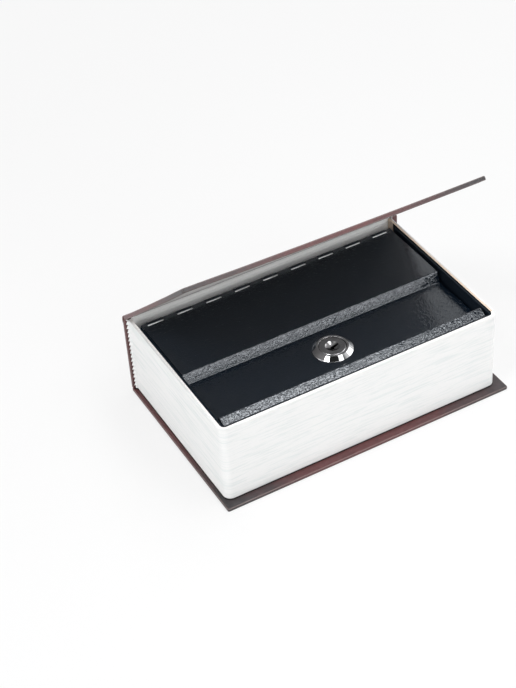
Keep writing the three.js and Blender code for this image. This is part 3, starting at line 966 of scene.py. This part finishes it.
level_normal = 0.97
lid_line = [
    (lid_low.x, lid_back, plateau_top - lid_half),
    (lid_low.x, step_top, plateau_top - lid_half),
    (lid_low.x, step_top - step_run, valley_top - lid_half),
    (lid_low.x, lip_back, valley_top - lid_half),
    (lid_low.x, lip_back - lip_slope_run, lip_top - lid_half),
    (lid_low.x, lid_low.y + lid_half, lip_top - lip_fall - lid_half),
    (lid_low.x, lid_low.y + lid_half, lip_top - flange_depth),
]
lid_bends = [1.0 * mm, 0.9 * mm, 0.8 * mm, 0.8 * mm, 1.0 * mm]


def cut(piece, cutter):
    """Takes one mesh out of another, and the cutter away."""
    modify(piece, "BOOLEAN", operation="DIFFERENCE", solver="EXACT", object=cutter)
    bpy.data.objects.remove(cutter)


box_lid = fold("lid_pressing", lid_line, (lid_high.x - lid_low.x, 0, 0), lid_bends)
modify(box_lid, "SOLIDIFY", thickness=lid_thick, offset=0)
break_edges(box_lid, lid_rim, cuts=3, degrees=60)
notch_front = hinge_y - knuckle_radius - notch_gap
notch_half = knuckle_length / 2 + notch_gap
cutters = []
for middle_x in knuckle_places:
    cutters.append(
        block("notch", (middle_x - notch_half, notch_front, hinge_z - knuckle_radius),
              (middle_x + notch_half, lid_back + lid_thick, lip_top))
    )
bpy.ops.mesh.primitive_cylinder_add(
    vertices=hole_sides, radius=hole_radius, depth=4 * lid_thick, location=(lock_x, lock_y, valley_top)
)
cutters.append(added("lock_hole"))
cut(box_lid, join("lid_cutters", cutters))
seam_front = Vector((0, -0.9, -0.44)).normalized()
lid_parts = [box_lid]
for before, after in zip(knuckle_places, knuckle_places[1:]):
    low_x, high_x = before + notch_half, after - notch_half
    middle_x = (low_x + high_x) / 2
    lid_parts.append(rolled("tab", middle_x, high_x - low_x, tab_radius, tab_wall, seam_front))
box_lid = join("lid_pressing", lid_parts)
soften(box_lid)
modify(box_lid, "WEIGHTED_NORMAL", keep_sharp=True)
level = box_lid.data.attributes.new("level", "FLOAT", "FACE")
for face, mark in zip(box_lid.data.polygons, level.data):
    mark.value = abs(face.normal.z) > level_normal
coat(box_lid, paint_shader("lid_paint", grain_size=740, depth=0.105 * mm, rough=(0.11, 0.17), shine=1))
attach(box_lid, "lid")
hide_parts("box_lid")


# Lock housing: a turned zinc casting with a flared bezel, polished and plated with chrome.
# Its barrel goes down through the lid, where a washer and a nut hold it.
bezel_radius = 11.5 * mm
bezel_top_radius = 9.0 * mm
bezel_edge = 0.35 * mm
bezel_rim = 0.13 * mm
head_bore = 7.8 * mm
plug_bore = 6.6 * mm
head_seat = valley_top - 1 * mm
turned_sides = 96
metal_bend = 30


def turned(name, profile, bored):
    """A piece turned on the lock's axis through radii and heights: a ring if bored, else a disc."""
    radius, z = profile[0]
    bpy.ops.mesh.primitive_circle_add(
        vertices=turned_sides, radius=radius, fill_type="NOTHING" if bored else "NGON",
        location=(lock_x, lock_y, z),
    )
    piece = added(name)
    pick(piece, "EDGE" if bored else "FACE", anywhere)
    for next_radius, next_z in profile[1:] + profile[:1] * bored:
        bpy.ops.mesh.extrude_region_move(TRANSFORM_OT_translate={"value": (0, 0, next_z - z)})
        share = next_radius / radius
        bpy.ops.transform.resize(value=(share, share, 1), center_override=(lock_x, lock_y, next_z))
        radius, z = next_radius, next_z
    bpy.ops.mesh.select_all(action="SELECT")
    bpy.ops.mesh.remove_doubles(threshold=same_place)
    bpy.ops.mesh.normals_make_consistent(inside=False)
    close_edit()
    return piece


chrome_plate = metal_shader("chrome_plate", (0.60, 0.60, 0.61, 1), rough=(0.03, 0.06), size=180)
lock_housing = turned(
    "lock_bezel",
    [
        (plug_bore, lock_low.z),
        (barrel_radius, lock_low.z),
        (barrel_radius, valley_top),
        (bezel_radius, valley_top),
        (bezel_radius, valley_top + bezel_edge),
        (bezel_top_radius, lock_high.z),
        (head_bore, lock_high.z),
        (head_bore, head_seat),
        (plug_bore, head_seat),
    ],
    bored=True,
)
break_edges(lock_housing, bezel_rim, cuts=3, degrees=25)
soften(lock_housing, metal_bend)
modify(lock_housing, "WEIGHTED_NORMAL", keep_sharp=True)
coat(lock_housing, chrome_plate)
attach(lock_housing, "lid")
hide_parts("lock_housing")


# Washer and nut: stamped and pressed steel, zinc plated, which clamp the lock to the lid from below.
# Their edges are left slightly round by the press and the plating.
washer_edge = 0.12 * mm
nut_edge = 0.3 * mm
flat_turn = math.radians(0.4)


def eased(name, node, edge, finish, body):
    """A plain piece of the frame with its edges broken."""
    piece = bpy.data.objects.new(name, frame["nodes"][node].data.copy())
    bpy.context.scene.collection.objects.link(piece)
    pick(piece, "FACE", anywhere)
    bpy.ops.mesh.remove_doubles(threshold=same_place)
    bpy.ops.mesh.dissolve_limited(angle_limit=flat_turn)
    close_edit()
    break_edges(piece, edge, cuts=2, degrees=40)
    soften(piece, metal_bend)
    coat(piece, finish)
    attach(piece, body)
    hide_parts(node)


zinc_plate = metal_shader(
    "zinc_plate", (0.56, 0.55, 0.51, 1), rough=(0.28, 0.5), size=420, depth=0.02 * mm
)
eased("clamp_washer", "lock_washer", washer_edge, zinc_plate, "lid")
eased("clamp_nut", "lock_nut", nut_edge, zinc_plate, "lid")


# Plug: turned zinc, chromed as the bezel is, with a flat head that is dished round the keyhole.
# Slots across its body hold the wafers, its tang carries the cam, and below its dish it is darkened, a
# painted shade that makes its keyhole black.
plug_low, plug_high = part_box("lock_plug")
plug_radius = 6.3 * mm
plug_head_radius = 7.5 * mm
plug_head_bottom = head_seat + 0.3 * mm
plug_rim = 0.25 * mm
plug_bottom = lock_low.z - 0.2 * mm
dish_radius = 4.2 * mm
dish_depth = 1.65 * mm
dish_rings = 10
dish_bottom = plug_high.z - dish_depth
key_length = 7.6 * mm
key_width = 1.5 * mm
key_jog = 0.9 * mm
wafer_count = 5
wafer_gap = 0.3 * mm
tang_half = 3.5 * mm
tang_top = plug_bottom + 0.4 * mm
thread_radius = 2.3 * mm
thread_sides = 32
thread_length = 8 * mm
# Painted shade: the plug is darkened below its dish's floor, so the keyhole reads black.
keyhole_shade_low = dish_bottom - 0.5 * mm
keyhole_shade_high = dish_bottom - 0.1 * mm
keyhole_shade_tone = 0.04
dish = []
for i in range(dish_rings):
    inward = i / dish_rings
    fallen = math.sin(math.pi / 2 * inward)
    dish.append((dish_radius * (1 - inward), plug_high.z - dish_depth * fallen))
plug = turned(
    "lock_plug_face",
    [
        (plug_radius, plug_bottom),
        (plug_radius, plug_head_bottom),
        (plug_head_radius, plug_head_bottom),
        (plug_head_radius, plug_high.z - plug_rim),
        (plug_head_radius - plug_rim, plug_high.z),
    ] + dish,
    bored=False,
)
plug_cutters = []
wafer_lows = []
for i in range(1, wafer_count + 1):
    low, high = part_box(f"lock_wafer_{i}")
    wafer_lows.append(low.z)
    plug_cutters.append(
        block("slot", (lock_x - plug_radius - mm, low.y - wafer_gap, low.z - wafer_gap),
              (lock_x + plug_radius + mm, high.y + wafer_gap, high.z + wafer_gap))
    )
key_low = min(wafer_lows) - wafer_gap
for side in (-1, 1):
    ends = sorted((-side * key_width / 2, side * key_length / 2))
    middle_y = lock_y + side * key_jog / 2
    plug_cutters.append(
        block("key", (lock_x + ends[0], middle_y - key_width / 2, key_low),
              (lock_x + ends[1], middle_y + key_width / 2, plug_high.z + mm))
    )
for cutter in plug_cutters:
    cut(plug, cutter)
tang = block("tang", (lock_x - tang_half, lock_y - tang_half, plug_low.z),
             (lock_x + tang_half, lock_y + tang_half, tang_top))
modify(plug, "BOOLEAN", operation="UNION", solver="EXACT", object=tang)
bpy.data.objects.remove(tang)
bpy.ops.mesh.primitive_cylinder_add(
    vertices=thread_sides, radius=thread_radius, depth=thread_length,
    location=(lock_x, lock_y, plug_low.z),
)
cut(plug, added("thread_hole"))
soften(plug, metal_bend)
modify(plug, "WEIGHTED_NORMAL", keep_sharp=True)
plug_chrome = metal_shader("plug_chrome", (0.46, 0.46, 0.47, 1), rough=(0.16, 0.27), size=260)
plug_tree, plug_shader, plated = reopen(plug_chrome)
# Painted shade down the keyhole.
keyhole_shade = remap(plug_tree, place_along(plug_tree, "Z"), keyhole_shade_low, keyhole_shade_high, keyhole_shade_tone)
feed(plug_tree, plug_shader, {"Base Color": shaded(plug_tree, plated, keyhole_shade)})
coat(plug, plug_chrome)
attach(plug, "lock_plug")
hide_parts("lock_plug")


# Wafers: five thin brass stampings with a window for the key, which slide in the plug's slots.
# The press leaves faint marks across them, and lock oil has darkened them.
brass_plate = metal_shader(
    "brass_plate", (0.30, 0.20, 0.09, 1), rough=(0.3, 0.5), size=900, stretch=(1, 6, 1), depth=0.01 * mm
)
for i in range(1, wafer_count + 1):
    coat(frame["nodes"][f"lock_wafer_{i}"], brass_plate)


# Cam and screw: a stamped steel arm on the plug's tang, held by a slotted screw, both zinc plated.
# The arm reaches under the strike plate on the box's front wall when the key is turned.
arm_edge = 0.25 * mm
screw_edge = 0.2 * mm
eased("lock_arm", "lock_cam", arm_edge, zinc_plate, "lock_plug")
eased("arm_screw", "cam_screw", screw_edge, zinc_plate, "lock_plug")


# Table: a seamless white sweep, lit by seven soft lamps from above, the front and both sides.
# The sheet is shown white to the lens and in reflections, and keeps the object's shadow.
floor_span = 8
floor_drop = 0.02 * mm
shadow_share = 0.25
shadow_clear = 0.35
shadow_gone = 1.2
ceiling_from = 0.62
ceiling_to = 0.78
ceiling_shade = 0.03
bpy.ops.mesh.primitive_plane_add(size=floor_span, location=(0, 0, -floor_drop))
floor = bpy.context.active_object
floor.name = "table_sheet"
floor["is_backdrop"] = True


def seen_rays(tree):
    """1 for the lens, for reflections and through glass, and 0 for the light itself."""
    rays = add_node(tree, "LightPath", {}).outputs
    seen = calc(tree, "MAXIMUM", rays["Is Camera Ray"], rays["Is Glossy Ray"])
    return calc(tree, "MAXIMUM", seen, rays["Is Transmission Ray"])


def between(tree, factor, first, second):
    """Mixes two shaders."""
    return add_node(tree, "MixShader", {"Fac": factor, 1: first, 2: second}).outputs["Shader"]


sheet_white, sheet, glossy = new_material("sheet_white")
sheet.nodes.remove(glossy)
matt = add_node(sheet, "BsdfDiffuse", {"Color": (0.66, 0.66, 0.66, 1)})
white = add_node(sheet, "Emission", {"Strength": 1})
away = add_node(sheet, "VectorMath", {0: object_place(sheet)}, operation="LENGTH").outputs["Value"]
whiter = remap(sheet, away, shadow_clear, shadow_gone, 1 - shadow_share)
shown = calc(sheet, "MULTIPLY", seen_rays(sheet), whiter)
feed(sheet, sheet.nodes["Material Output"], {
    "Surface": between(sheet, shown, matt.outputs["BSDF"], white.outputs["Emission"]),
})
coat(floor, sheet_white)

world = bpy.data.worlds.new("studio")
bpy.context.scene.world = world
world.use_nodes = True
room = world.node_tree
air = room.nodes["Background"]
feed(room, air, {"Color": (0.94, 0.97, 1, 1), "Strength": 0.1})
sight = add_node(room, "TexCoord", {}).outputs["Generated"]
height = add_node(room, "SeparateXYZ", {"Vector": sight}).outputs["Z"]
ceiling = remap(room, height, ceiling_from, ceiling_to, 1, ceiling_shade, "SMOOTHSTEP")
walls = add_node(room, "Background", {"Color": ceiling})
feed(room, room.nodes["World Output"], {
    "Surface": between(room, seen_rays(room), air.outputs["Background"], walls.outputs["Background"]),
})

lamp_aim = Vector((0, 0, 0.04))
lamps = (
    ("lamp_top", (0.36, 0.04, 1.25), (1.15, 0.38), 10.5),
    ("lamp_front", (0.3, -1.1, 0.36), (0.95, 0.4), 4.8),
    ("lamp_front_mid", (0.0, -0.86, 0.78), (0.7, 0.22), 2.1),
    ("lamp_front_high", (0.45, -0.62, 1.05), (0.65, 0.2), 1.8),
    ("lamp_left_high", (-0.7, -0.22, 1.12), (0.42, 0.42), 8.0),
    ("lamp_left_low", (-1.3, -0.02, 0.4), (0.9, 0.6), 7.2),
    ("lamp_right", (1.12, -0.1, 0.56), (0.9, 0.45), 3.4),
)
for name, place, span, power in lamps:
    bpy.ops.object.light_add(type="AREA", location=place)
    lamp = bpy.context.active_object
    lamp.name = name
    lamp.data.shape = "RECTANGLE"
    lamp.data.size, lamp.data.size_y = span
    lamp.data.energy = power
    lamp.rotation_euler = (lamp_aim - Vector(place)).to_track_quat("-Z", "Y").to_euler()

lens_place = Vector((-0.3516, -0.6299, 0.6431))
lens_right = Vector((0.87024, -0.48933, -0.05693))
lens_up = Vector((0.35386, 0.54051, 0.76333))
lens_back = Vector((-0.34275, -0.68441, 0.64352))
lens_turn = Matrix((lens_right, lens_up, lens_back)).transposed().to_4x4()
lens_millimetres = 88.61
sensor_millimetres = 36
sight_limit = 20
bpy.ops.object.camera_add()
camera = bpy.context.active_object
camera.matrix_world = Matrix.Translation(lens_place) @ lens_turn
camera.data.lens = lens_millimetres
camera.data.sensor_width = sensor_millimetres
camera.data.clip_end = sight_limit
bpy.context.scene.camera = camera
bpy.context.scene.view_settings.view_transform = "Standard"

bpy.context.view_layer.update()
low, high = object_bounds()
